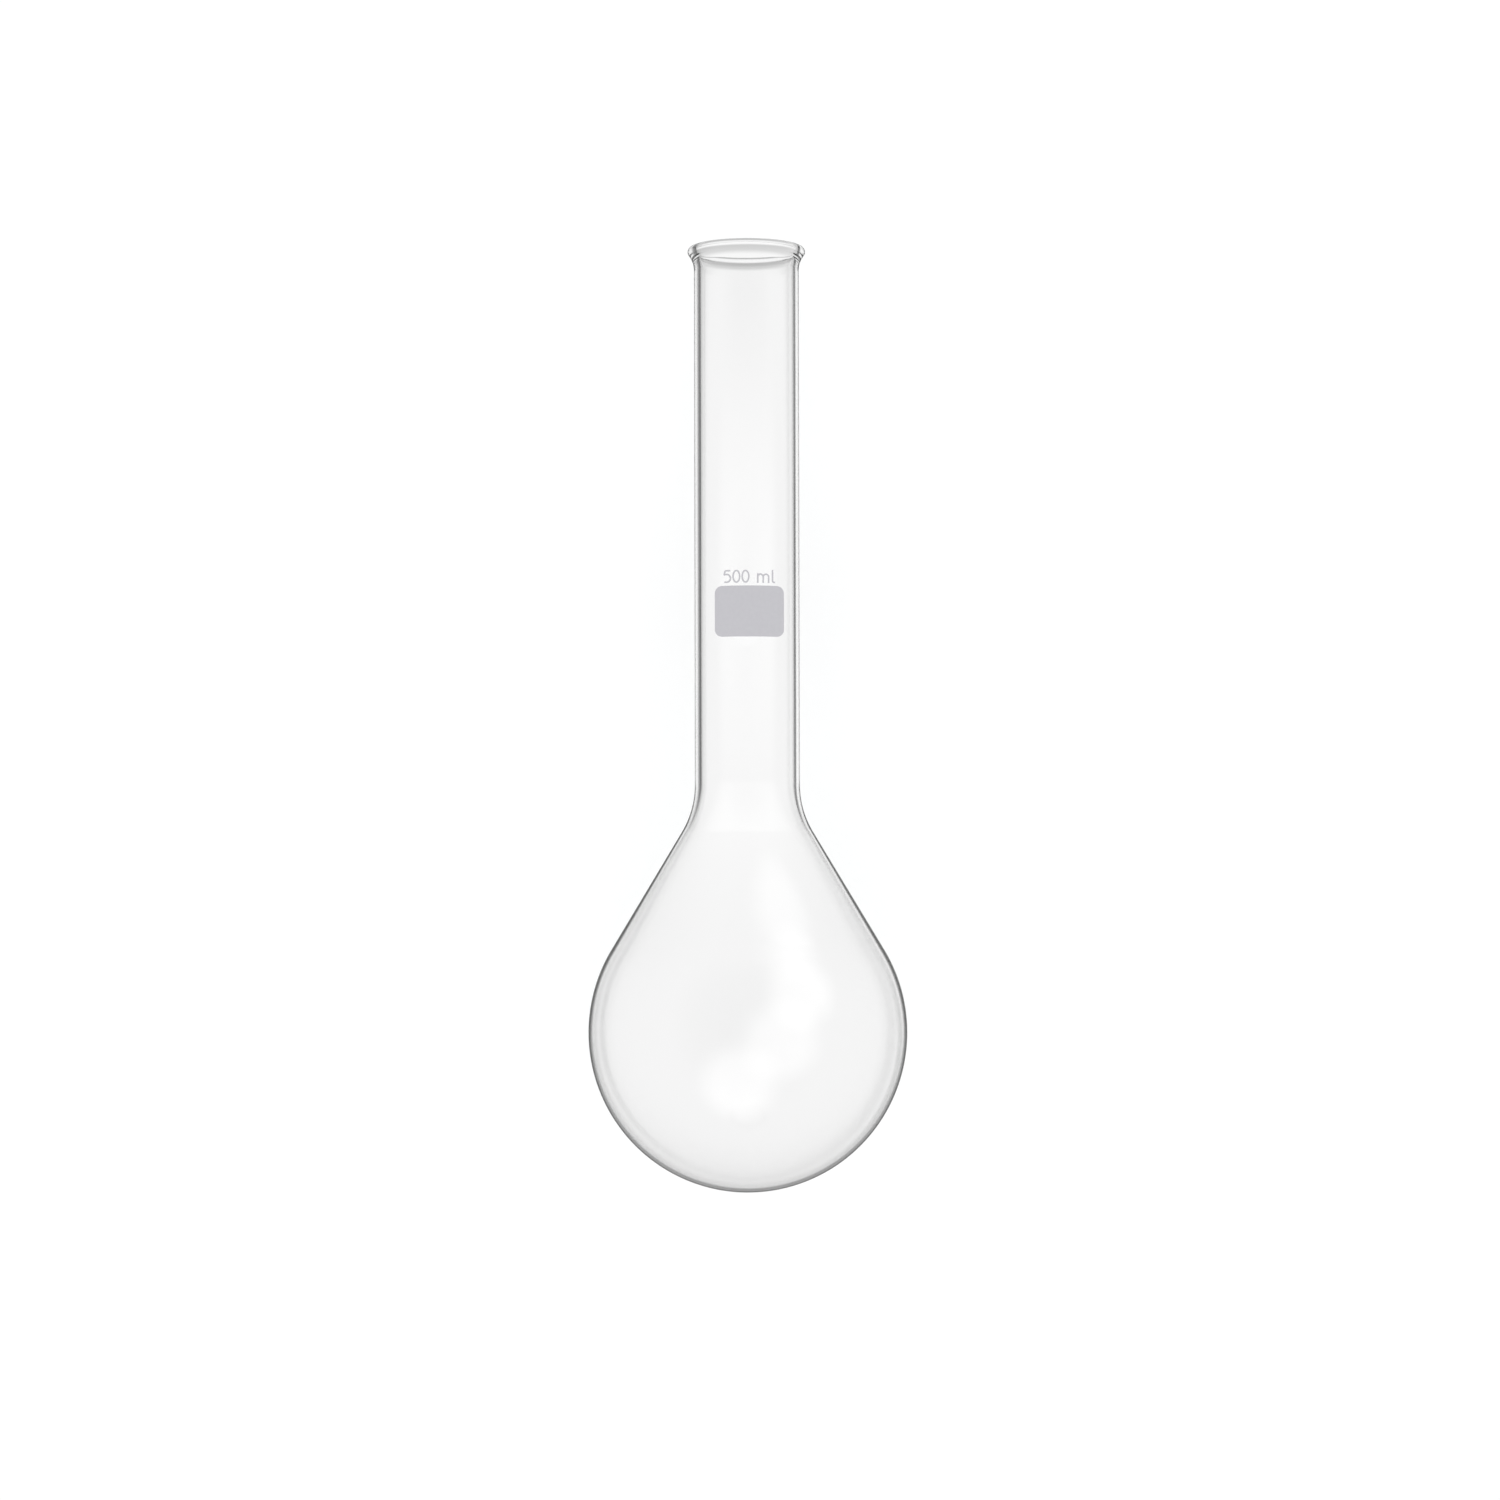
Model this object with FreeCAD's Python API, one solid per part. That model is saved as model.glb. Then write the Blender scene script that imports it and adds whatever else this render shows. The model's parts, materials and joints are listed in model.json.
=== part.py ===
import FreeCAD, Part
import math
import os

# Long-necked digestion flask, blown in one piece from clear laboratory glass.
# A round bulb runs through a conical shoulder into a long plain neck with a beaded rim.
# The flask can't stand, so it lies as it comes to rest: the bulb and the rim touch z = 0,
# the neck slopes down to the mouth, and the mouth is towards +Y.
# The profile is drawn upright in the XZ plane, with s as the height above the bulb's
# lowest point, turned about the axis, and then laid down.

# Driving dimensions, in mm and degrees.
overall_length = 297.0
bulb_diameter = 100.0
bulb_wall = 1.2
shoulder_half_angle = 31.0
shoulder_fillet = 29.0
neck_diameter = 33.0
neck_wall = 2.0
rim_diameter = 37.0
rim_bead_radius = 1.5
rim_flare_radius = 4.5
mouth_taper = 12.0
mouth_blend_radius = 10.0

panel_width = 21.5
panel_height = 15.8
panel_corner_radius = 2.3
panel_thickness = 0.1
panel_centre_s = 181.3
panel_side_offset = 0.75

# Sizes that follow from them.
bulb_radius = bulb_diameter / 2
inner_bulb_radius = bulb_radius - bulb_wall
neck_radius = neck_diameter / 2
bore_radius = neck_radius - neck_wall
bead_circle_radius = rim_diameter / 2 - rim_bead_radius
bead_s = overall_length - rim_bead_radius
inner_fillet = shoulder_fillet + neck_wall
shoulder_angle = math.radians(shoulder_half_angle)
taper_angle = math.radians(mouth_taper)


def point(r, s):
    """A point of the upright profile at radius r and height s."""
    return FreeCAD.Vector(r, 0, s)


def around(centre, radius, angle):
    """The point at an angle on a circle of the profile, from +X towards +Z."""
    return centre + point(radius * math.cos(angle), radius * math.sin(angle))


def arc(centre, radius, first, last):
    """The profile arc between two angles about a centre."""
    middle = (first + last) / 2
    return Part.Arc(
        around(centre, radius, first),
        around(centre, radius, middle),
        around(centre, radius, last),
    ).toShape()


def shoulder(ball_radius, tube_radius, fillet):
    """One side of the glass from the bulb's bottom to the top of the shoulder fillet.

    The cone is tangent to the ball, and the fillet is tangent to the cone and to the
    tube. Gives the four edges in order and their two ends.
    """
    ball_centre = point(0, bulb_radius)
    reach = (ball_radius - tube_radius * math.cos(shoulder_angle)) / math.sin(shoulder_angle)
    corner_s = bulb_radius + reach
    tangent = fillet * math.tan(shoulder_angle / 2)
    fillet_centre = point(tube_radius + fillet, corner_s + tangent)
    ball = arc(ball_centre, ball_radius, -math.pi / 2, shoulder_angle)
    bend = arc(fillet_centre, fillet, math.pi + shoulder_angle, math.pi)
    cone = Part.makeLine(
        around(ball_centre, ball_radius, shoulder_angle),
        around(fillet_centre, fillet, math.pi + shoulder_angle),
    )
    bottom = around(ball_centre, ball_radius, -math.pi / 2)
    top = around(fillet_centre, fillet, math.pi)
    return [ball, cone, bend], bottom, top


def flask():
    """The whole blown glass body, upright, with its axis on Z."""
    outer_edges, outer_bottom, outer_top = shoulder(bulb_radius, neck_radius, shoulder_fillet)
    inner_edges, inner_bottom, inner_top = shoulder(inner_bulb_radius, bore_radius, inner_fillet)

    # Rim: the neck flares out in a hollow curve that is tangent to the full-round bead.
    bead_centre = point(bead_circle_radius, bead_s)
    flare_reach = neck_radius + rim_flare_radius - bead_circle_radius
    flare_rise = math.sqrt((rim_flare_radius + rim_bead_radius) ** 2 - flare_reach ** 2)
    flare_turn = math.atan2(flare_rise, flare_reach)
    flare_centre = point(neck_radius + rim_flare_radius, bead_s - flare_rise)
    flare = arc(flare_centre, rim_flare_radius, math.pi, math.pi - flare_turn)
    bead = arc(bead_centre, rim_bead_radius, -flare_turn, math.pi - taper_angle)
    neck_side = Part.makeLine(outer_top, around(flare_centre, rim_flare_radius, math.pi))

    # Mouth: the bore opens in a slight taper that is tangent to the bead.
    lip = around(bead_centre, rim_bead_radius, math.pi - taper_angle)
    taper_s = lip.z - (lip.x - bore_radius) / math.tan(taper_angle)
    blend = mouth_blend_radius * math.tan(taper_angle / 2)
    blend_centre = point(bore_radius + mouth_blend_radius, taper_s - blend)
    bend = arc(blend_centre, mouth_blend_radius, math.pi, math.pi - taper_angle)
    bore_end = around(blend_centre, mouth_blend_radius, math.pi)
    taper_start = around(blend_centre, mouth_blend_radius, math.pi - taper_angle)
    taper = Part.makeLine(taper_start, lip)
    bore_side = Part.makeLine(inner_top, bore_end)

    axis_edge = Part.makeLine(outer_bottom, inner_bottom)
    edges = outer_edges + [neck_side, flare, bead, taper, bend, bore_side]
    edges += inner_edges + [axis_edge]
    wire = Part.Wire(Part.__sortEdges__(edges))
    solid = Part.Face(wire).revolve(point(0, 0), FreeCAD.Vector(0, 0, 1), 360)
    return solid, inner_top.z, bore_end.z


def marking_panel():
    """The enamel writing field, a rounded rectangle seen from the front of the neck."""
    low = panel_centre_s - panel_height / 2
    left = panel_side_offset - panel_width / 2
    base = point(0, low - 1)
    skin = Part.makeCylinder(neck_radius + panel_thickness, panel_height + 2, base)
    skin = skin.cut(Part.makeCylinder(neck_radius, panel_height + 2, base))
    corner = FreeCAD.Vector(left, -neck_diameter, low)
    block = Part.makeBox(panel_width, neck_diameter, panel_height, corner)
    across = [e for e in block.Edges if abs(e.tangentAt(e.FirstParameter).y) > 0.5]
    block = block.makeFillet(panel_corner_radius, across)
    return skin.common(block)


def laid_down(shape):
    """The upright shape turned and lowered so that the bulb and the rim touch z = 0."""
    reach = bead_s - bulb_radius
    slope = math.asin((bulb_radius - rim_bead_radius) / math.hypot(reach, bead_circle_radius))
    slope -= math.atan2(bead_circle_radius, reach)
    rise = bead_circle_radius * math.sin(slope)
    length_past_bulb = reach * math.cos(slope) + rise + rim_bead_radius
    bulb_y = (bulb_radius - length_past_bulb) / 2
    turn = FreeCAD.Rotation(FreeCAD.Vector(1, 0, 0), -90 - math.degrees(slope))
    shift = FreeCAD.Vector(
        0,
        bulb_y - bulb_radius * math.cos(slope),
        bulb_radius + bulb_radius * math.sin(slope),
    )
    laid = shape.copy()
    laid.Placement = FreeCAD.Placement(shift, turn)
    return laid, bulb_y, math.degrees(slope)


def main():
    os.makedirs("parts", exist_ok=True)
    body, bore_start, bore_end = flask()
    nodes = {"flask": body, "marking_panel": marking_panel()}
    for name, upright in nodes.items():
        shape, bulb_y, slope = laid_down(upright)
        shape.exportStep(os.path.join("parts", name + ".step"))
        box = shape.optimalBoundingBox()
        print(name, "valid", shape.isValid(), "solids", len(shape.Solids))
        print("  volume mm3", round(shape.Volume, 2))
        print("  x", round(box.XMin, 4), round(box.XMax, 4))
        print("  y", round(box.YMin, 4), round(box.YMax, 4))
        print("  z", round(box.ZMin, 4), round(box.ZMax, 4))
    print("slope of the neck in degrees", round(slope, 4))
    print("bulb centre y", round(bulb_y, 4))
    print("bore from s", round(bore_start, 4), "to", round(bore_end, 4))


main()
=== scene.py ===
import json
import logging
import math
from dataclasses import dataclass
from enum import Enum

import bpy
import numpy as np
from mathutils import Matrix, Vector


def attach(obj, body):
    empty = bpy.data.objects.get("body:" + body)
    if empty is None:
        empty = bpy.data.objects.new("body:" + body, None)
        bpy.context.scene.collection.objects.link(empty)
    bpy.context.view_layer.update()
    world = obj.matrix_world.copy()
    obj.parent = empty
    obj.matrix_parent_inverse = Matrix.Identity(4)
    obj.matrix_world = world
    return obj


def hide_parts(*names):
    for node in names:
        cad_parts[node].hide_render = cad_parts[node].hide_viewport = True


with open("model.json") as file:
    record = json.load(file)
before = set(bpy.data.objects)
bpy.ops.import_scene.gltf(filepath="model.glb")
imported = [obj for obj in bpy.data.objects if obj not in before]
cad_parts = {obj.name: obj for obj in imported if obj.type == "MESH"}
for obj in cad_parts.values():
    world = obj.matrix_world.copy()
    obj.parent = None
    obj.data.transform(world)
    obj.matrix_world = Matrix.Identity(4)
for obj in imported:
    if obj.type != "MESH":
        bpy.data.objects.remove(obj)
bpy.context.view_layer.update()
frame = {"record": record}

# Long-necked digestion flask of clear laboratory glass, lying on its bulb and its rim.
# Everything is in metres, in the frame of the solids. The flask's own measure is s, the
# height above the bulb's lowest point along the glass's axis, with radii taken from that axis.

logging.basicConfig(level=logging.INFO, format="%(message)s")
log = logging.getLogger("digestion_flask")

MILLIMETRE = 0.001


@dataclass(frozen=True)
class RestingPose:
    """How the upright flask is laid down.

    The axis runs from the bulb to the mouth, up is the side of the glass that is uppermost,
    and bulb_centre is the middle of the round bulb.
    """

    axis: np.ndarray
    up: np.ndarray
    bulb_centre: np.ndarray
    bulb_radius: float

    @classmethod
    def from_record(cls, record: dict, bulb_radius: float) -> "RestingPose":
        """Reads the axis from the neck's clamping place and finds the bulb on it.

        The bulb touches z = 0, so its centre is the point of the axis that is one bulb
        radius above z = 0.

        Args:
            record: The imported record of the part.
            bulb_radius: Outer radius of the bulb.

        Returns:
            The pose that all pieces of the flask share.
        """
        clamp = next(m for m in record["mounts"] if m["name"] == "neck_clamp")
        axis = np.array(clamp["axis"], float)
        axis /= np.linalg.norm(axis)
        on_axis = np.array(clamp["pos_m"], float)
        centre = on_axis + axis * (bulb_radius - on_axis[2]) / axis[2]
        up = np.array([0.0, -axis[2], axis[1]])
        return cls(axis, up, centre, bulb_radius)

    def place(self, across: np.ndarray, height: np.ndarray, front: np.ndarray) -> np.ndarray:
        """Carries points of the upright flask to where they lie.

        A point is the bulb's centre, plus its way across along X, plus its height past the
        bulb's centre along the axis, plus its way to the front along up.

        Args:
            across: Distances to the right of the axis.
            height: Heights s above the bulb's lowest point.
            front: Distances from the axis towards the front of the flask.

        Returns:
            An array of points with one more dimension than the arguments.
        """
        right = np.array([1.0, 0.0, 0.0])
        along = np.asarray(height)[..., None] - self.bulb_radius
        return (
            self.bulb_centre
            + np.asarray(across)[..., None] * right
            + along * self.axis
            + np.asarray(front)[..., None] * self.up
        )


def arc(centre: tuple, radius: float, first: float, last: float, count: int) -> np.ndarray:
    """Points on a circle of the section, at even steps of angle.

    A point is the centre plus radius times the cosine and the sine of its angle.

    Args:
        centre: Radius from the axis and height s of the circle's centre.
        radius: Radius of the circle.
        first: Angle of the first point, from outwards towards upwards, in radians.
        last: Angle of the last point.
        count: Number of points.

    Returns:
        An array of rows (radius from the axis, height s).
    """
    angle = np.linspace(first, last, count)
    return np.stack(
        [centre[0] + radius * np.cos(angle), centre[1] + radius * np.sin(angle)], axis=1
    )


def straight(start: np.ndarray, end: np.ndarray, count: int) -> np.ndarray:
    """Points evenly between two points, both ends included.

    Args:
        start: First point.
        end: Last point.
        count: Number of points.

    Returns:
        An array of rows, one point each.
    """
    share = np.linspace(0.0, 1.0, count)[:, None]
    return np.asarray(start) * (1 - share) + np.asarray(end) * share


def tube_faces(rows: int, columns: int) -> np.ndarray:
    """Quads of a grid that is closed round its columns, as vertex numbers.

    Each quad joins a point, its neighbour round the ring, and the same two of the next row.

    Args:
        rows: Number of rings.
        columns: Number of points in a ring.

    Returns:
        An array of rows of four vertex numbers.
    """
    row, column = np.meshgrid(np.arange(rows - 1), np.arange(columns), indexing="ij")
    beside = (column + 1) % columns
    corners = [
        row * columns + column,
        row * columns + beside,
        (row + 1) * columns + beside,
        (row + 1) * columns + column,
    ]
    return np.stack([c.ravel() for c in corners], axis=1)


def cap_faces(ring_start: int, columns: int, pole: int, outwards_last: bool) -> np.ndarray:
    """Triangles from a ring to the point that closes it.

    Args:
        ring_start: Number of the ring's first vertex.
        columns: Number of points in the ring.
        pole: Number of the closing vertex.
        outwards_last: True for the end of a grid, False for its start.

    Returns:
        An array of rows of three vertex numbers.
    """
    here = ring_start + np.arange(columns)
    beside = ring_start + (np.arange(columns) + 1) % columns
    closing = np.full(columns, pole)
    order = [here, beside, closing] if outwards_last else [beside, here, closing]
    return np.stack(order, axis=1)


def closed_rings(rings: np.ndarray, start: np.ndarray, end: np.ndarray) -> tuple[np.ndarray, list]:
    """Joins rings into one closed skin with a pole at each end.

    Args:
        rings: Points in an array of rings by columns by three.
        start: The point that closes the first ring.
        end: The point that closes the last ring.

    Returns:
        The vertices, and the list of faces.
    """
    rows, columns = rings.shape[:2]
    vertices = np.concatenate([rings.reshape(-1, 3), start[None], end[None]])
    first_pole = rows * columns
    faces = tube_faces(rows, columns).tolist()
    faces += cap_faces(0, columns, first_pole, False).tolist()
    faces += cap_faces((rows - 1) * columns, columns, first_pole + 1, True).tolist()
    return vertices, faces


def new_piece(
    name: str, vertices: np.ndarray, faces: list, material: bpy.types.Material
) -> bpy.types.Object:
    """Makes a smooth mesh object whose place is in its mesh.

    Args:
        name: Name of the piece.
        vertices: Points in metres.
        faces: Lists of vertex numbers.
        material: The finish of the whole piece.

    Returns:
        The new object, linked to the scene.
    """
    mesh = bpy.data.meshes.new(name)
    mesh.from_pydata(vertices.tolist(), [], faces)
    mesh.polygons.foreach_set("use_smooth", [True] * len(mesh.polygons))
    mesh.materials.append(material)
    mesh.update()
    piece = bpy.data.objects.new(name, mesh)
    bpy.context.scene.collection.objects.link(piece)
    log.info("%s: %d vertices, %d faces", name, len(mesh.vertices), len(mesh.polygons))
    return piece


def new_material(name: str) -> tuple[bpy.types.Material, bpy.types.Nodes, bpy.types.NodeLinks]:
    """An empty node material.

    Args:
        name: Name of the finish.

    Returns:
        The material, its nodes and its links.
    """
    material = bpy.data.materials.new(name)
    material.use_nodes = True
    material.node_tree.nodes.clear()
    return material, material.node_tree.nodes, material.node_tree.links


@dataclass(frozen=True)
class ClearGlass:
    """Clear borosilicate glass, drawn and blown, so very slightly wavy.

    A painted shade darkens the glass's colour on the bulb and its shoulder, where the thin wall is
    seen nearly edge on, and stands for the dark outline that the bulb shows: between two shares
    of facing away, which run from 0 for head on to 1 for edge on. It fades out between two
    heights, so that the neck keeps its light fringe, and it is seen only in the first glass that
    the view meets.
    """

    ior: float = 1.473
    face_tint: tuple = (1.0, 1.0, 1.0, 1.0)
    # Near-black painted shade for the bulb's outline, mixed into the glass's colour.
    outline_painted_shade: tuple = (0.02, 0.021, 0.02, 1.0)
    painted_shade_start: float = 0.755
    painted_shade_end: float = 0.815
    fade_start: float = 114.0 * MILLIMETRE
    fade_end: float = 130.0 * MILLIMETRE
    wave_scale: float = 34.0
    wave_detail: float = 1.0
    wave_height: float = 0.00002
    shadow_tint: tuple = (0.975, 0.98, 0.98, 1.0)

    def painted_shade_share(
        self, nodes: bpy.types.Nodes, links: bpy.types.NodeLinks, pose: RestingPose
    ) -> bpy.types.NodeSocket:
        """How far the painted shade on the bulb's outline counts at a place, from 0 to 1.

        It is the product of how edge on the wall is seen, how low on the flask the place is,
        and whether it is the first glass that the view meets.

        Args:
            nodes: The material's nodes.
            links: The material's links.
            pose: Where the flask lies, which gives the height of a place on it.

        Returns:
            The socket that gives the share.
        """
        # The painted shade grows as the wall turns edge on to the view.
        facing = nodes.new("ShaderNodeLayerWeight")
        facing.inputs["Blend"].default_value = 0.5
        edge = nodes.new("ShaderNodeMapRange")
        edge.interpolation_type = "SMOOTHSTEP"
        edge.inputs["From Min"].default_value = self.painted_shade_start
        edge.inputs["From Max"].default_value = self.painted_shade_end
        links.new(facing.outputs["Facing"], edge.inputs["Value"])

        place = nodes.new("ShaderNodeTexCoord")
        along = nodes.new("ShaderNodeVectorMath")
        along.operation = "DOT_PRODUCT"
        along.inputs[1].default_value = tuple(float(part) for part in pose.axis)
        foot = float(np.dot(pose.axis, pose.place(np.zeros(1), np.zeros(1), np.zeros(1))[0]))
        fade = nodes.new("ShaderNodeMapRange")
        fade.interpolation_type = "SMOOTHSTEP"
        fade.inputs["From Min"].default_value = foot + self.fade_end
        fade.inputs["From Max"].default_value = foot + self.fade_start
        links.new(place.outputs["Object"], along.inputs[0])
        links.new(along.outputs["Value"], fade.inputs["Value"])

        path = nodes.new("ShaderNodeLightPath")
        share = edge.outputs["Result"]
        for factor in (fade.outputs["Result"], path.outputs["Is Camera Ray"]):
            product = nodes.new("ShaderNodeMath")
            product.operation = "MULTIPLY"
            links.new(share, product.inputs[0])
            links.new(factor, product.inputs[1])
            share = product.outputs[0]
        return share

    def add_waves(
        self, nodes: bpy.types.Nodes, links: bpy.types.NodeLinks, glass: bpy.types.Node
    ) -> None:
        """Lays the faint waves of blown glass on the surface as a bump.

        Args:
            nodes: The material's nodes.
            links: The material's links.
            glass: The shader that they go on.
        """
        place = nodes.new("ShaderNodeTexCoord")
        wave = nodes.new("ShaderNodeTexNoise")
        wave.inputs["Scale"].default_value = self.wave_scale
        wave.inputs["Detail"].default_value = self.wave_detail
        bump = nodes.new("ShaderNodeBump")
        bump.inputs["Strength"].default_value = 1.0
        bump.inputs["Distance"].default_value = self.wave_height
        links.new(place.outputs["Object"], wave.inputs["Vector"])
        links.new(wave.outputs[0], bump.inputs["Height"])
        links.new(bump.outputs["Normal"], glass.inputs["Normal"])

    def material(self, pose: RestingPose) -> bpy.types.Material:
        """Glass with painted shade that greys it towards the bulb's outline, and that lets lamps through.

        Args:
            pose: Where the flask lies, which gives the height of a place on it.

        Returns:
            The finished material.
        """
        material, nodes, links = new_material("clear_glass")
        output = nodes.new("ShaderNodeOutputMaterial")
        glass = nodes.new("ShaderNodeBsdfPrincipled")
        glass.inputs["Roughness"].default_value = 0.0
        glass.inputs["IOR"].default_value = self.ior
        glass.inputs["Transmission Weight"].default_value = 1.0
        # The glass's colour, darkened by painted shade towards the bulb's outline.
        glass_and_painted_shade = nodes.new("ShaderNodeMix")
        glass_and_painted_shade.data_type = "RGBA"
        glass_and_painted_shade.inputs[6].default_value = self.face_tint
        glass_and_painted_shade.inputs[7].default_value = self.outline_painted_shade
        links.new(self.painted_shade_share(nodes, links, pose), glass_and_painted_shade.inputs[0])
        links.new(glass_and_painted_shade.outputs[2], glass.inputs["Base Color"])
        self.add_waves(nodes, links, glass)

        clear = nodes.new("ShaderNodeBsdfTransparent")
        clear.inputs["Color"].default_value = self.shadow_tint
        path = nodes.new("ShaderNodeLightPath")
        lamps = nodes.new("ShaderNodeMath")
        lamps.operation = "MAXIMUM"
        links.new(path.outputs["Is Shadow Ray"], lamps.inputs[0])
        links.new(path.outputs["Is Diffuse Ray"], lamps.inputs[1])
        choice = nodes.new("ShaderNodeMixShader")
        links.new(lamps.outputs[0], choice.inputs[0])
        links.new(glass.outputs[0], choice.inputs[1])
        links.new(clear.outputs[0], choice.inputs[2])
        links.new(choice.outputs[0], output.inputs["Surface"])
        return material


@dataclass(frozen=True)
class FiredEnamel:
    """Pale grey enamel fired onto the glass, faintly mottled and grained."""

    base: tuple = (0.50, 0.495, 0.525, 1.0)
    lighter: tuple = (0.54, 0.535, 0.565, 1.0)
    mottle_scale: float = 900.0
    grain_scale: float = 6000.0
    grain_height: float = 0.000004
    roughness: float = 0.42
    ior: float = 1.5
    mottle_detail: float = 3.0

    def material(self) -> bpy.types.Material:
        """Enamel whose colour drifts between two near tones.

        Returns:
            The finished material.
        """
        material, nodes, links = new_material("marking_enamel")
        output = nodes.new("ShaderNodeOutputMaterial")
        enamel = nodes.new("ShaderNodeBsdfPrincipled")
        enamel.inputs["Roughness"].default_value = self.roughness
        enamel.inputs["IOR"].default_value = self.ior

        place = nodes.new("ShaderNodeTexCoord")
        mottle = nodes.new("ShaderNodeTexNoise")
        mottle.inputs["Scale"].default_value = self.mottle_scale
        mottle.inputs["Detail"].default_value = self.mottle_detail
        tone = nodes.new("ShaderNodeMix")
        tone.data_type = "RGBA"
        tone.inputs[6].default_value = self.base
        tone.inputs[7].default_value = self.lighter
        links.new(place.outputs["Object"], mottle.inputs["Vector"])
        links.new(mottle.outputs[0], tone.inputs[0])
        links.new(tone.outputs[2], enamel.inputs["Base Color"])

        grain = nodes.new("ShaderNodeTexNoise")
        grain.inputs["Scale"].default_value = self.grain_scale
        bump = nodes.new("ShaderNodeBump")
        bump.inputs["Distance"].default_value = self.grain_height
        links.new(place.outputs["Object"], grain.inputs["Vector"])
        links.new(grain.outputs[0], bump.inputs["Height"])
        links.new(bump.outputs["Normal"], enamel.inputs["Normal"])
        links.new(enamel.outputs[0], output.inputs["Surface"])
        return material


@dataclass
class GlassBody:
    """The blown glass: bulb, conical shoulder, neck and beaded rim, in one skin.

    The steps are the numbers of points along each part of the section.
    """

    overall_length: float = 297.0 * MILLIMETRE
    bulb_radius: float = 50.0 * MILLIMETRE
    bulb_wall: float = 1.2 * MILLIMETRE
    shoulder_angle: float = math.radians(31.0)
    shoulder_fillet: float = 29.0 * MILLIMETRE
    neck_radius: float = 16.5 * MILLIMETRE
    neck_wall: float = 2.0 * MILLIMETRE
    rim_radius: float = 18.5 * MILLIMETRE
    bead_radius: float = 1.5 * MILLIMETRE
    flare_radius: float = 8.0 * MILLIMETRE
    mouth_taper: float = math.radians(12.0)
    mouth_blend: float = 10.0 * MILLIMETRE
    columns: int = 256
    ball_steps: int = 118
    cone_steps: int = 6
    fillet_steps: int = 16
    neck_steps: int = 12
    flare_steps: int = 14
    bead_steps: int = 44
    taper_steps: int = 4
    blend_steps: int = 10

    def shoulder(self, ball: float, tube: float, fillet: float) -> np.ndarray:
        """One side of the wall from the bulb's bottom to the neck.

        The ball runs up to where its tangent leans in by the shoulder angle, a straight cone
        follows, and a fillet turns it into the tube.

        Args:
            ball: Radius of the bulb on this side of the wall.
            tube: Radius of the neck on this side of the wall.
            fillet: Radius of the bend between the cone and the neck.

        Returns:
            The section points without the pole.
        """
        lean = self.shoulder_angle
        reach = (ball - tube * math.cos(lean)) / math.sin(lean)
        bend_height = self.bulb_radius + reach + fillet * math.tan(lean / 2)
        round_part = arc((0.0, self.bulb_radius), ball, -math.pi / 2, lean, self.ball_steps)[1:]
        bend_centre = (tube + fillet, bend_height)
        bend = arc(bend_centre, fillet, math.pi + lean, math.pi, self.fillet_steps)
        cone = straight(round_part[-1], bend[0], self.cone_steps)[1:-1]
        return np.concatenate([round_part, cone, bend])

    def section(self) -> np.ndarray:
        """The wall's closed section, from the outer pole over the rim to the inner pole.

        The neck flares in a hollow curve into a full round bead, and the bore opens in a
        slight taper that is tangent to the bead.

        Returns:
            An array of rows (radius from the axis, height s), without the two poles.
        """
        bore = self.neck_radius - self.neck_wall
        outside = self.shoulder(self.bulb_radius, self.neck_radius, self.shoulder_fillet)
        inside = self.shoulder(
            self.bulb_radius - self.bulb_wall, bore, self.shoulder_fillet + self.neck_wall
        )
        bead_centre = (self.rim_radius - self.bead_radius, self.overall_length - self.bead_radius)
        flare_reach = self.neck_radius + self.flare_radius - bead_centre[0]
        flare_rise = math.sqrt((self.flare_radius + self.bead_radius) ** 2 - flare_reach ** 2)
        turn = math.atan2(flare_rise, flare_reach)
        flare_centre = (self.neck_radius + self.flare_radius, bead_centre[1] - flare_rise)
        flare = arc(flare_centre, self.flare_radius, math.pi, math.pi - turn, self.flare_steps)
        bead_end = math.pi - self.mouth_taper
        bead = arc(bead_centre, self.bead_radius, -turn, bead_end, self.bead_steps)

        lip = bead[-1]
        taper_height = lip[1] - (lip[0] - bore) / math.tan(self.mouth_taper)
        blend_height = taper_height - self.mouth_blend * math.tan(self.mouth_taper / 2)
        blend_centre = (bore + self.mouth_blend, blend_height)
        blend = arc(blend_centre, self.mouth_blend, bead_end, math.pi, self.blend_steps)
        neck_outside = straight(outside[-1], flare[0], self.neck_steps)[1:-1]
        taper = straight(lip, blend[0], self.taper_steps)[1:-1]
        neck_inside = straight(blend[-1], inside[-1], self.neck_steps)[1:-1]
        return np.concatenate(
            [outside, neck_outside, flare, bead[1:], taper, blend, neck_inside, inside[::-1]]
        )

    def build(self, pose: RestingPose, glass: bpy.types.Material) -> bpy.types.Object:
        """Turns the section about the axis.

        Across is the radius times the cosine of the turn, and front is the radius times the
        sine of the turn taken the other way round, which keeps the faces pointing outwards.

        Args:
            pose: Where the flask lies.
            glass: The finish.

        Returns:
            The glass body, which stands for the solid node flask and hides it.
        """
        section = self.section()
        turn = np.arange(self.columns) * 2 * math.pi / self.columns
        radius = section[:, :1]
        height = np.repeat(section[:, 1:], self.columns, axis=1)
        rings = pose.place(radius * np.cos(turn), height, -radius * np.sin(turn))
        nothing = np.zeros(1)
        outer_pole = pose.place(nothing, nothing, nothing)[0]
        inner_pole = pose.place(nothing, nothing + self.bulb_wall, nothing)[0]
        vertices, faces = closed_rings(rings, outer_pole, inner_pole)
        body = new_piece("glass_body", vertices, faces, glass)
        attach(body, "root")
        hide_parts("flask")
        return body


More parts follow.
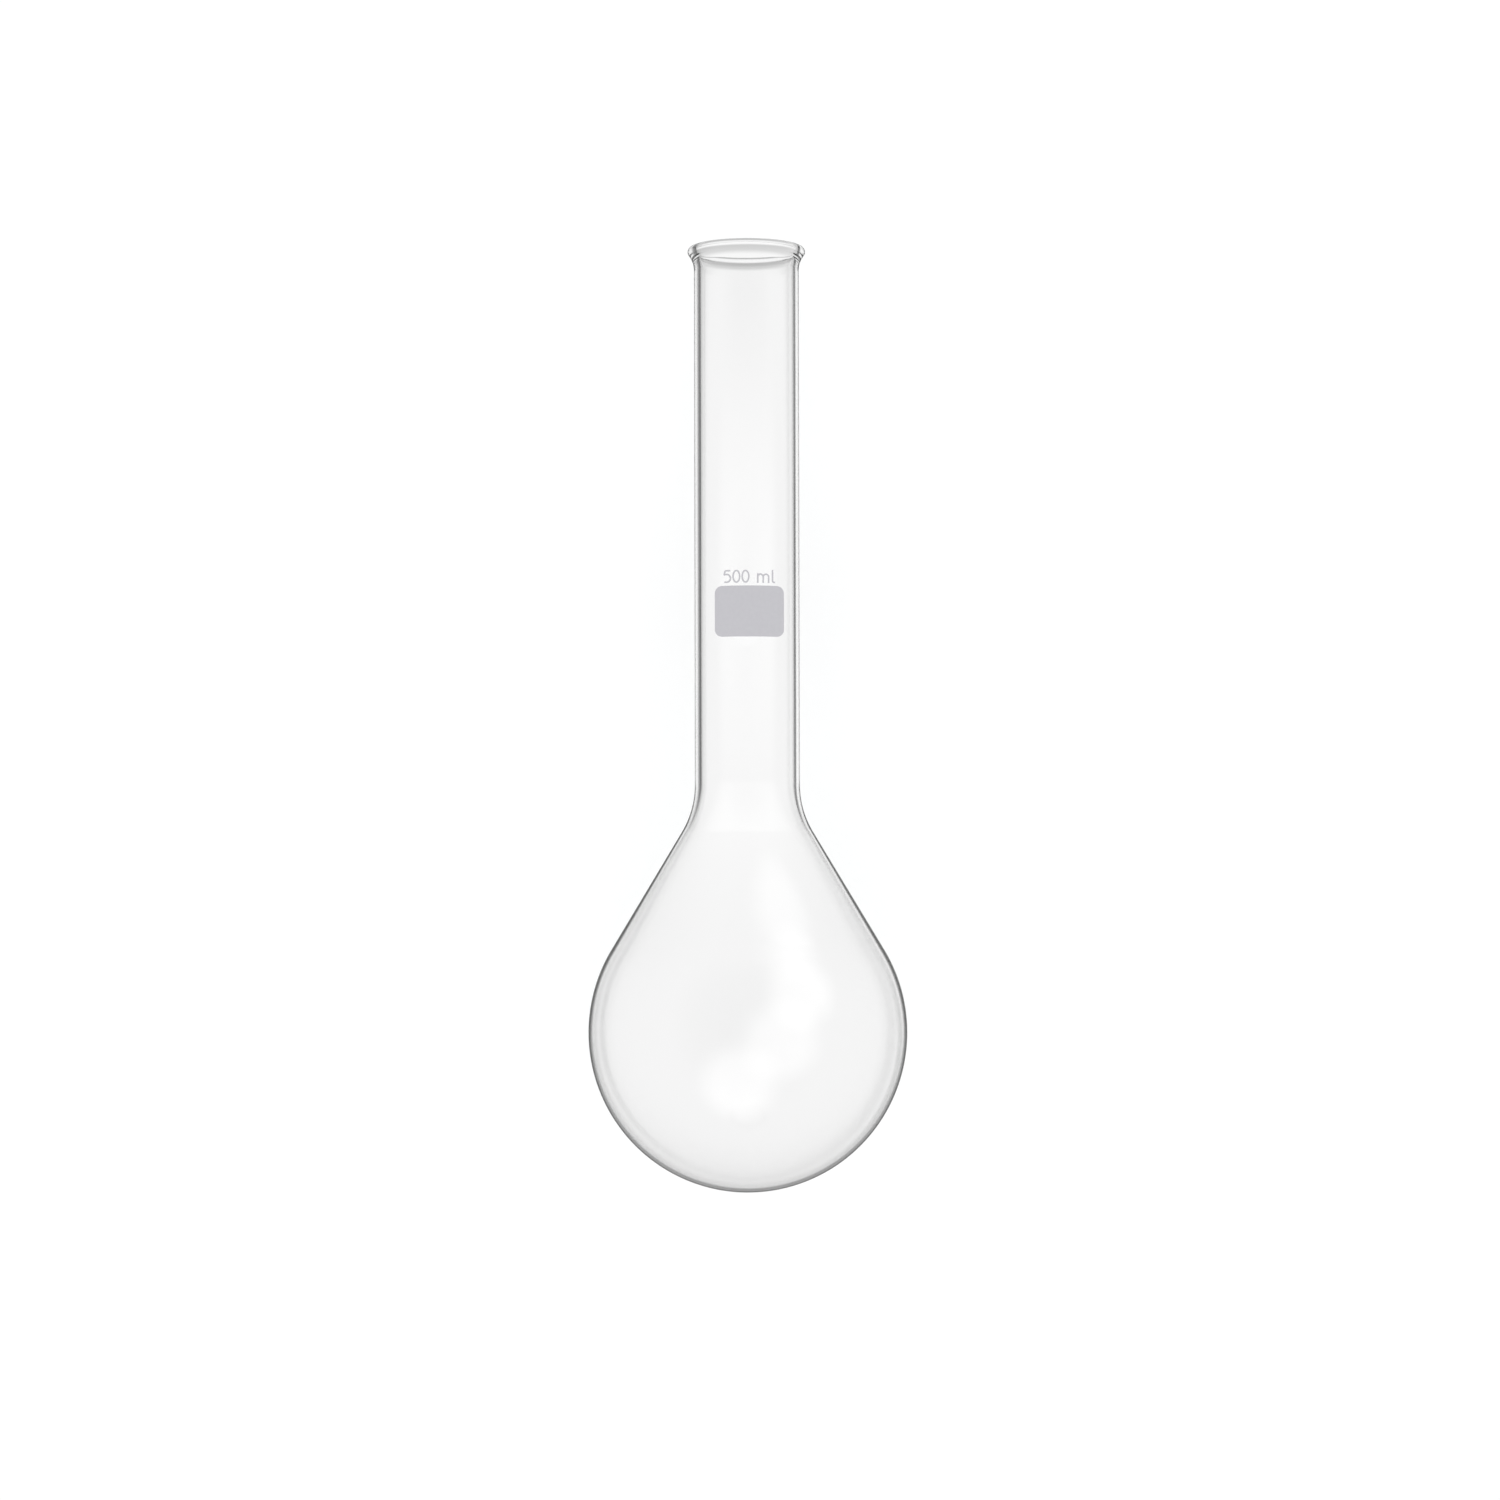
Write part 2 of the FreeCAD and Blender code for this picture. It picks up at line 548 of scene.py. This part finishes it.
@dataclass
class MarkingPanel:
    """The blank enamel writing field on the front of the neck."""

    neck_radius: float
    width: float = 21.5 * MILLIMETRE
    height: float = 15.8 * MILLIMETRE
    corner_radius: float = 2.3 * MILLIMETRE
    thickness: float = 0.1 * MILLIMETRE
    edge_round: float = 0.05 * MILLIMETRE
    centre_s: float = 181.3 * MILLIMETRE
    side_offset: float = 0.75 * MILLIMETRE
    corner_steps: int = 12
    side_steps: int = 24
    face_steps: int = 12
    edge_steps: int = 5
    inmost_share: float = 0.08

    def outline(self) -> np.ndarray:
        """The rounded rectangle, anticlockwise as seen from the front.

        Each corner is a quarter circle, and each side runs straight to the next corner.

        Returns:
            An array of rows (across, up) about the panel's centre.
        """
        half = np.array([self.width / 2, self.height / 2]) - self.corner_radius
        signs = np.array([[1, 1], [-1, 1], [-1, -1], [1, -1]])
        corners = [
            arc(tuple(half * sign), self.corner_radius, quarter * math.pi / 2,
                (quarter + 1) * math.pi / 2, self.corner_steps)
            for quarter, sign in enumerate(signs)
        ]
        sides = [
            straight(corners[k][-1], corners[(k + 1) % 4][0], self.side_steps)[1:-1]
            for k in range(4)
        ]
        return np.concatenate([part for pair in zip(corners, sides) for part in pair])

    def build(self, pose: RestingPose, enamel: bpy.types.Material) -> bpy.types.Object:
        """Carries a thin section round the outline and wraps it on the neck.

        The section runs from the middle of the back out to the edge, up its side, round the
        edge, and back to the middle of the face. A point at a way across x and a radius r
        stands at the front by the root of r squared less x squared.

        Args:
            pose: Where the flask lies.
            enamel: The finish.

        Returns:
            The panel, which stands for the solid node marking_panel and hides it.
        """
        outline = self.outline()
        shares = np.linspace(self.inmost_share, 1.0, self.face_steps)
        edge = np.linspace(0.0, math.pi / 2, self.edge_steps)
        inset = self.edge_round * (1 - np.cos(edge)) / (self.height / 2)
        share = np.concatenate([shares, 1 - inset, shares[::-1][1:] * (1 - inset[-1])])
        lift = np.concatenate([
            np.zeros(len(shares)),
            self.thickness - self.edge_round * (1 - np.sin(edge)),
            np.full(len(shares) - 1, self.thickness),
        ])
        across = self.side_offset + share[:, None] * outline[:, 0]
        height = self.centre_s + share[:, None] * outline[:, 1]
        radius = self.neck_radius + lift[:, None]
        rings = pose.place(across, height, np.sqrt(radius ** 2 - across ** 2))
        middle = np.full(1, self.side_offset)
        poles = [
            pose.place(middle, np.full(1, self.centre_s), np.sqrt(r ** 2 - middle ** 2))[0]
            for r in (self.neck_radius, self.neck_radius + self.thickness)
        ]
        vertices, faces = closed_rings(rings, *poles)
        panel = new_piece("enamel_panel", vertices, faces, enamel)
        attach(panel, "root")
        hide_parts("marking_panel")
        return panel


class Glyph(Enum):
    """The signs of the capacity mark."""

    FIVE = "5"
    ZERO = "0"
    SMALL_M = "m"
    SMALL_L = "l"


@dataclass
class CapacityMark:
    """The 500 ml capacity mark above the panel, printed in the same enamel.

    Sizes of a sign are measured from its lower left corner, in metres. The shares are parts
    of a sign's width or height, and each further stroke of a sign lies a little lower than
    the one before, so that no two faces share a plane.
    """

    neck_radius: float
    baseline_s: float = 190.0 * MILLIMETRE
    digit_height: float = 4.1 * MILLIMETRE
    small_height: float = 3.0 * MILLIMETRE
    tall_height: float = 4.15 * MILLIMETRE
    line_width: float = 0.52 * MILLIMETRE
    thickness: float = 0.05 * MILLIMETRE
    digit_starts: tuple = (-7.15 * MILLIMETRE, -4.55 * MILLIMETRE, -1.72 * MILLIMETRE)
    m_start: float = 3.1 * MILLIMETRE
    l_start: float = 7.68 * MILLIMETRE
    five_width: float = 2.3 * MILLIMETRE
    zero_width: float = 2.57 * MILLIMETRE
    m_width: float = 3.9 * MILLIMETRE
    l_width: float = 1.05 * MILLIMETRE
    five_stem_share: float = 0.17
    five_bowl_share: float = 0.30
    five_bowl_start: float = math.radians(128)
    five_bowl_end: float = math.radians(-122)
    m_spring_share: float = 0.62
    l_foot_share: float = 0.5
    stroke_drop_share: float = 0.06

    def strokes(self, glyph: Glyph) -> list[np.ndarray]:
        """Centre lines of a sign's pen strokes.

        A nought is an ellipse, a five is a bar, a stem and most of a circle, an m is a stem
        with two arches, and an l is a stem whose foot turns out.

        Args:
            glyph: The sign.

        Returns:
            One array of rows (across, up) for each stroke.
        """
        half = self.line_width / 2
        if glyph is Glyph.ZERO:
            turn = np.linspace(0, 2 * math.pi, 49)
            middle = np.array([self.zero_width, self.digit_height]) / 2
            loop = middle + (middle - half) * np.stack([np.cos(turn), np.sin(turn)], axis=1)
            return [loop]
        if glyph is Glyph.FIVE:
            top = self.digit_height - half
            stem_x = self.five_stem_share * self.five_width
            bowl_radius = self.five_bowl_share * self.digit_height
            bowl_centre = (self.five_width - half - bowl_radius, bowl_radius + half)
            bowl = arc(bowl_centre, bowl_radius, self.five_bowl_start, self.five_bowl_end, 30)
            bar = straight((stem_x, top), (self.five_width - 1.2 * half, top), 3)
            stem = straight((stem_x, top), bowl[0], 4)
            return [bar, stem, bowl]
        if glyph is Glyph.SMALL_M:
            span = (self.m_width - self.line_width) / 2
            stem = straight((half, 0.0), (half, self.small_height), 3)
            spring = self.m_spring_share * self.small_height
            turn = np.linspace(math.pi, 0.0, 17)
            arches = []
            for left in (half, half + span):
                bow = np.stack([
                    left + span / 2 * (1 + np.cos(turn)),
                    spring + (self.small_height - half - spring) * np.sin(turn),
                ], axis=1)
                arches.append(np.concatenate([bow, straight(bow[-1], (left + span, 0.0), 4)[1:]]))
            return [stem, *arches]
        foot = self.l_foot_share * self.l_width
        bend = arc((half + foot, half + foot), foot, math.pi, 1.5 * math.pi, 9)
        stem = straight((half, self.tall_height), bend[0], 4)[:-1]
        return [np.concatenate([stem, bend, [(self.l_width, half)]])]

    def ribbon(self, line: np.ndarray, lift: float, pose: RestingPose) -> tuple[np.ndarray, list]:
        """A pen stroke as a flat closed ribbon on the neck.

        Four edges follow the centre line, half a line width to each side of it, two on the
        neck and two lifted off it. The ends are closed square.

        Args:
            line: Centre line as rows (across, height s).
            lift: Height of the ribbon's face above the neck.
            pose: Where the flask lies.

        Returns:
            The vertices, and the list of faces.
        """
        way = np.gradient(line, axis=0)
        if np.allclose(line[0], line[-1]):
            way[0] = way[-1] = line[1] - line[-2]
        way /= np.linalg.norm(way, axis=1, keepdims=True)
        side = np.stack([-way[:, 1], way[:, 0]], axis=1) * self.line_width / 2
        across = np.stack([(line + k * side)[:, 0] for k in (-1, 1, 1, -1)], axis=1)
        height = np.stack([(line + k * side)[:, 1] for k in (-1, 1, 1, -1)], axis=1)
        radius = self.neck_radius + np.array([lift, lift, 0.0, 0.0])
        rings = pose.place(across, height, np.sqrt(radius ** 2 - across ** 2))
        vertices = rings.reshape(-1, 3)
        faces = tube_faces(len(line), 4)[:, ::-1].tolist()
        last = (len(line) - 1) * 4
        faces += [[0, 1, 2, 3], [last + 3, last + 2, last + 1, last]]
        return vertices, faces

    def build(self, pose: RestingPose, enamel: bpy.types.Material) -> bpy.types.Object:
        """Sets the signs side by side on the neck.

        Args:
            pose: Where the flask lies.
            enamel: The finish.

        Returns:
            The mark as one piece.
        """
        written = [(Glyph.FIVE, self.digit_starts[0])]
        written += [(Glyph.ZERO, start) for start in self.digit_starts[1:]]
        written += [(Glyph.SMALL_M, self.m_start), (Glyph.SMALL_L, self.l_start)]
        vertices, faces, count = [], [], 0
        for glyph, start in written:
            for number, stroke in enumerate(self.strokes(glyph)):
                lift = self.thickness * (1 - self.stroke_drop_share * number)
                line = stroke + np.array([start, self.baseline_s])
                points, quads = self.ribbon(line, lift, pose)
                vertices.append(points)
                faces += [[v + count for v in quad] for quad in quads]
                count += len(points)
        mark = new_piece("capacity_mark", np.concatenate(vertices), faces, enamel)
        mark.data.polygons.foreach_set("use_smooth", [False] * len(mark.data.polygons))
        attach(mark, "root")
        return mark


@dataclass(frozen=True)
class SkyGlow:
    """A round glow in the sky, placed by where it would stand in the photograph.

    Its place is in pixels from the picture's top left corner, and its half angle and the
    width of its soft edge are in degrees.
    """

    right_px: float
    down_px: float
    half_angle: float
    soft_edge: float
    strength: float


@dataclass(frozen=True)
class SkyTones:
    """Tones of the sky to the left, to the right and towards the ends of the flask.

    Each pair is an angle in degrees from the middle of the bright backdrop and a tone.
    """

    left: tuple
    right: tuple
    ends: tuple


@dataclass(frozen=True)
class StudioSky:
    """The light that the glass sees, by the angle from the middle of the bright backdrop.

    Rays that pass through the walls read the seen tones: a bright backdrop between two dark
    flags, then pale again. Rays that turn back inside a wall read the turned tones, and rays
    that the outside mirrors read the gleam tones, which stand for the dimmer room.
    """

    seen: SkyTones = SkyTones(
        left=(
            (0, 1.0), (15, 1.0), (18, 0.85), (27, 0.6), (36, 0.3),
            (45, 0.3), (54, 1.0), (110, 1.0), (180, 0.4),
        ),
        right=(
            (0, 1.0), (24, 1.0), (29, 0.85), (36, 0.85),
            (44, 1.0), (110, 1.0), (125, 0.5), (180, 0.4),
        ),
        ends=(
            (0, 1.0), (11, 1.0), (18, 0.7), (26, 0.55), (46, 0.55),
            (56, 1.0), (110, 1.0), (125, 0.5), (180, 0.4),
        ),
    )
    turned: SkyTones = SkyTones(
        left=(
            (0, 1.0), (20, 0.95), (26, 0.7), (31, 0.35), (35, 0.15), (45, 0.1),
            (52, 0.5), (62, 0.7), (110, 0.5), (150, 0.2), (180, 0.1),
        ),
        right=(
            (0, 1.0), (26, 1.0), (31, 0.3), (34, 0.05), (39, 0.05),
            (43, 0.6), (60, 0.7), (110, 0.5), (150, 0.2), (180, 0.1),
        ),
        ends=((0, 1.0), (20, 0.9), (30, 0.5), (60, 0.45), (110, 0.5), (150, 0.2), (180, 0.1)),
    )
    gleam: SkyTones = SkyTones(
        left=((0, 0.3), (10, 0.25), (18, 0.2), (26, 0.8), (45, 0.85), (60, 0.5), (90, 0.3), (180, 0.1)),
        right=((0, 0.5), (10, 0.3), (18, 0.2), (26, 0.8), (45, 0.85), (60, 0.5), (90, 0.3), (180, 0.1)),
        ends=((0, 0.3), (10, 0.25), (18, 0.25), (26, 0.7), (45, 0.8), (60, 0.5), (90, 0.3), (180, 0.1)),
    )
    glows: tuple = (
        SkyGlow(825, 975, 0.80, 0.80, 0.10),
        SkyGlow(795, 1045, 0.85, 0.80, 0.10),
        SkyGlow(735, 1105, 0.85, 0.80, 0.10),
        SkyGlow(808, 900, 0.80, 0.90, 0.07),
        SkyGlow(750, 600, 4.0, 4.4, 0.08),
    )
    dome_strength: float = 1.16

    def along(self, tree: bpy.types.NodeTree, direction: Vector) -> bpy.types.NodeSocket:
        """How far a ray goes along a direction: their dot product.

        Args:
            tree: The world's node tree.
            direction: A unit vector.

        Returns:
            The socket that gives the product.
        """
        place = tree.nodes.new("ShaderNodeTexCoord")
        dot = tree.nodes.new("ShaderNodeVectorMath")
        dot.operation = "DOT_PRODUCT"
        dot.inputs[1].default_value = tuple(direction)
        tree.links.new(place.outputs["Generated"], dot.inputs[0])
        return dot.outputs["Value"]

    def work_out(
        self, tree: bpy.types.NodeTree, operation: str, *values: bpy.types.NodeSocket | float
    ) -> bpy.types.NodeSocket:
        """One step of arithmetic in the node tree.

        Args:
            tree: The world's node tree.
            operation: The name of the Math node's operation.
            values: Sockets or plain numbers, in order.

        Returns:
            The socket that gives the result.
        """
        step = tree.nodes.new("ShaderNodeMath")
        step.operation = operation
        for socket, value in zip(step.inputs, values):
            if isinstance(value, bpy.types.NodeSocket):
                tree.links.new(value, socket)
            else:
                socket.default_value = value
        return step.outputs[0]

    def angle_from(self, tree: bpy.types.NodeTree, direction: Vector) -> bpy.types.NodeSocket:
        """Angle between a ray and a direction, in degrees: the arc cosine of their product.

        Args:
            tree: The world's node tree.
            direction: A unit vector.

        Returns:
            The socket that gives the angle.
        """
        angle = self.work_out(tree, "ARCCOSINE", self.along(tree, direction))
        return self.work_out(tree, "DEGREES", angle)

    def tones(
        self, tree: bpy.types.NodeTree, angle: bpy.types.NodeSocket, stops: tuple
    ) -> bpy.types.NodeSocket:
        """Reads a tone from pairs of angle and tone.

        Args:
            tree: The world's node tree.
            angle: The socket that gives the angle in degrees.
            stops: The pairs, from 0 to 180 degrees.

        Returns:
            The socket that gives the tone.
        """
        share = tree.nodes.new("ShaderNodeMapRange")
        share.inputs["From Max"].default_value = 180.0
        ramp = tree.nodes.new("ShaderNodeValToRGB")
        ramp.color_ramp.interpolation = "EASE"
        elements = ramp.color_ramp.elements
        while len(elements) < len(stops):
            elements.new(0.5)
        for element, (degrees, tone) in zip(elements, stops):
            element.position = degrees / 180.0
            element.color = (tone, tone, tone, 1.0)
        tree.links.new(angle, share.inputs["Value"])
        tree.links.new(share.outputs["Result"], ramp.inputs["Fac"])
        return ramp.outputs["Color"]

    def mixed(
        self,
        tree: bpy.types.NodeTree,
        share: bpy.types.NodeSocket,
        first: bpy.types.NodeSocket,
        second: bpy.types.NodeSocket,
    ) -> bpy.types.NodeSocket:
        """A mix of two tones.

        Args:
            tree: The world's node tree.
            share: The share of the second tone.
            first: The tone at share 0.
            second: The tone at share 1.

        Returns:
            The socket that gives the mixed tone.
        """
        mix = tree.nodes.new("ShaderNodeMix")
        mix.data_type = "RGBA"
        tree.links.new(share, mix.inputs[0])
        tree.links.new(first, mix.inputs[6])
        tree.links.new(second, mix.inputs[7])
        return mix.outputs[2]

    def blended(
        self, tree: bpy.types.NodeTree, middle: Vector, right: Vector, tones: SkyTones
    ) -> bpy.types.NodeSocket:
        """The tone at a ray's angle, blended between the sides and the ends.

        The share of a side is the square of how far the ray goes to that side, over the
        square of the sine of its angle from the middle.

        Args:
            tree: The world's node tree.
            middle: The way to the middle of the backdrop.
            right: The way to the right of it.
            tones: The tones to blend.

        Returns:
            The socket that gives the tone.
        """
        angle = self.angle_from(tree, middle)
        ahead = self.along(tree, middle)
        sine_squared = self.work_out(tree, "SUBTRACT", 1.0, self.work_out(tree, "MULTIPLY", ahead, ahead))
        over = self.work_out(tree, "MAXIMUM", sine_squared, 0.000001)
        tone = self.tones(tree, angle, tones.ends)
        for way, stops in ((right, tones.right), (-right, tones.left)):
            aside = self.work_out(tree, "MAXIMUM", self.along(tree, way), 0.0)
            share = self.work_out(tree, "DIVIDE", self.work_out(tree, "MULTIPLY", aside, aside), over)
            tone = self.mixed(tree, share, tone, self.tones(tree, angle, stops))
        return tone

    def add_glow(
        self, tree: bpy.types.NodeTree, tone: bpy.types.NodeSocket, direction: Vector, glow: SkyGlow
    ) -> bpy.types.NodeSocket:
        """Adds a soft round glow to a tone.

        The glow falls smoothly from its strength to nothing across its soft edge.

        Args:
            tree: The world's node tree.
            tone: The socket that gives the tone so far.
            direction: The way to the glow's middle, a unit vector.
            glow: Its size and strength.

        Returns:
            The socket that gives the sum.
        """
        fall = tree.nodes.new("ShaderNodeMapRange")
        fall.interpolation_type = "SMOOTHSTEP"
        fall.inputs["From Min"].default_value = glow.half_angle + glow.soft_edge / 2
        fall.inputs["From Max"].default_value = glow.half_angle - glow.soft_edge / 2
        fall.inputs["To Max"].default_value = glow.strength
        added = tree.nodes.new("ShaderNodeVectorMath")
        added.operation = "ADD"
        tree.links.new(self.angle_from(tree, direction), fall.inputs["Value"])
        tree.links.new(tone, added.inputs[0])
        tree.links.new(fall.outputs["Result"], added.inputs[1])
        return added.outputs[0]

    def build(self, camera_axes: Matrix, lens_px: float, picture_px: float) -> None:
        """A white dome for the floor and the enamel, and the toned sky for the glass.

        Args:
            camera_axes: The camera's right, up and back directions as columns.
            lens_px: The lens's focal length in pixels of the photograph.
            picture_px: The photograph's width in pixels.
        """
        world = bpy.data.worlds.new("studio_sky")
        bpy.context.scene.world = world
        world.use_nodes = True
        tree = world.node_tree
        tree.nodes.clear()
        middle = camera_axes @ Vector((0.0, 0.0, -1.0))
        right = camera_axes @ Vector((1.0, 0.0, 0.0))
        seen = self.blended(tree, middle, right, self.seen)
        for glow in self.glows:
            offset = Vector((glow.right_px - picture_px / 2, picture_px / 2 - glow.down_px, -lens_px))
            seen = self.add_glow(tree, seen, (camera_axes @ offset).normalized(), glow)
        turned = self.blended(tree, middle, right, self.turned)
        gleam = self.blended(tree, middle, right, self.gleam)

        path = tree.nodes.new("ShaderNodeLightPath")
        went_in = self.work_out(tree, "GREATER_THAN", path.outputs["Transmission Depth"], 0.5)
        mirrored = self.mixed(tree, went_in, gleam, turned)
        was_mirrored = self.work_out(tree, "GREATER_THAN", path.outputs["Glossy Depth"], 0.5)
        for_glass = self.mixed(tree, was_mirrored, seen, mirrored)
        glass_sky = tree.nodes.new("ShaderNodeBackground")
        tree.links.new(for_glass, glass_sky.inputs["Color"])

        dome = tree.nodes.new("ShaderNodeBackground")
        dome.inputs["Color"].default_value = (1.0, 1.0, 1.0, 1.0)
        dome.inputs["Strength"].default_value = self.dome_strength
        plain = tree.nodes.new("ShaderNodeMath")
        plain.operation = "MAXIMUM"
        tree.links.new(path.outputs["Is Camera Ray"], plain.inputs[0])
        tree.links.new(path.outputs["Is Diffuse Ray"], plain.inputs[1])
        choice = tree.nodes.new("ShaderNodeMixShader")
        tree.links.new(plain.outputs[0], choice.inputs[0])
        tree.links.new(glass_sky.outputs[0], choice.inputs[1])
        tree.links.new(dome.outputs[0], choice.inputs[2])
        output = tree.nodes.new("ShaderNodeOutputWorld")
        tree.links.new(choice.outputs[0], output.inputs["Surface"])


@dataclass
class Studio:
    """Pale floor, soft even light and the camera."""

    floor_half: float = 12.0
    floor_drop: float = 0.0002
    floor_tone: tuple = (0.93, 0.93, 0.93, 1.0)
    picture_px: float = 1500.0
    bulb_right_px: float = -2.1
    bulb_down_px: float = 281.8
    scale_px: float = 3184.0
    distance: float = 0.998
    pitch: float = math.radians(-1.01)
    roll: float = math.radians(0.12)
    sensor: float = 36.0

    @property
    def lens_px(self) -> float:
        """The lens's focal length in pixels of the photograph."""
        return self.scale_px * self.distance

    def view_axes(self, pose: RestingPose) -> Matrix:
        """The camera's right, up and back directions as the columns of a matrix.

        Back leans from square to the axis towards the mouth by the pitch, and the camera is
        rolled a little about it.

        Args:
            pose: Where the flask lies.

        Returns:
            A rotation matrix.
        """
        back = pose.up * math.cos(self.pitch) + pose.axis * math.sin(self.pitch)
        up = pose.axis * math.cos(self.pitch) - pose.up * math.sin(self.pitch)
        right = np.cross(up, back)
        leaning = right * math.cos(self.roll) - up * math.sin(self.roll)
        return Matrix((leaning, np.cross(back, leaning), back)).transposed()

    def build_camera(self, pose: RestingPose) -> bpy.types.Object:
        """Puts the camera where the bulb falls on its place in the picture.

        Args:
            pose: Where the flask lies.

        Returns:
            The camera.
        """
        axes = self.view_axes(pose)
        offset = Vector((self.bulb_right_px, -self.bulb_down_px, 0.0)) / self.scale_px
        offset.z = -self.distance
        data = bpy.data.cameras.new("photo_camera")
        data.sensor_width = self.sensor
        data.lens = self.lens_px * self.sensor / self.picture_px
        data.clip_start, data.clip_end = 0.1, 60.0
        camera = bpy.data.objects.new("photo_camera", data)
        camera.matrix_world = Matrix.Translation(
            Vector(pose.bulb_centre) - axes @ offset
        ) @ axes.to_4x4()
        bpy.context.scene.collection.objects.link(camera)
        bpy.context.scene.camera = camera
        log.info("camera: lens %.0f mm at %s", data.lens, tuple(round(x, 3) for x in camera.location))
        return camera

    def build_floor(self) -> bpy.types.Object:
        """A wide pale floor under the flask, which the glass doesn't mirror.

        Returns:
            The floor.
        """
        material, nodes, links = new_material("pale_floor")
        output = nodes.new("ShaderNodeOutputMaterial")
        paint = nodes.new("ShaderNodeBsdfDiffuse")
        paint.inputs["Color"].default_value = self.floor_tone
        links.new(paint.outputs[0], output.inputs["Surface"])
        half, low = self.floor_half, -self.floor_drop
        corners = np.array([[-half, -half, low], [half, -half, low], [half, half, low], [-half, half, low]])
        floor = new_piece("floor", corners, [[0, 1, 2, 3]], material)
        floor.visible_transmission = False
        floor.visible_glossy = False
        return floor


def main() -> None:
    """Builds the flask and its studio in order."""
    body = GlassBody()
    pose = RestingPose.from_record(frame["record"], body.bulb_radius)
    enamel = FiredEnamel().material()
    body.build(pose, ClearGlass().material(pose))
    MarkingPanel(body.neck_radius).build(pose, enamel)
    CapacityMark(body.neck_radius).build(pose, enamel)
    studio = Studio()
    studio.build_floor()
    StudioSky().build(studio.view_axes(pose), studio.lens_px, studio.picture_px)
    studio.build_camera(pose)
    bpy.context.scene.view_settings.view_transform = "Standard"


if __name__ == "__main__":
    main()
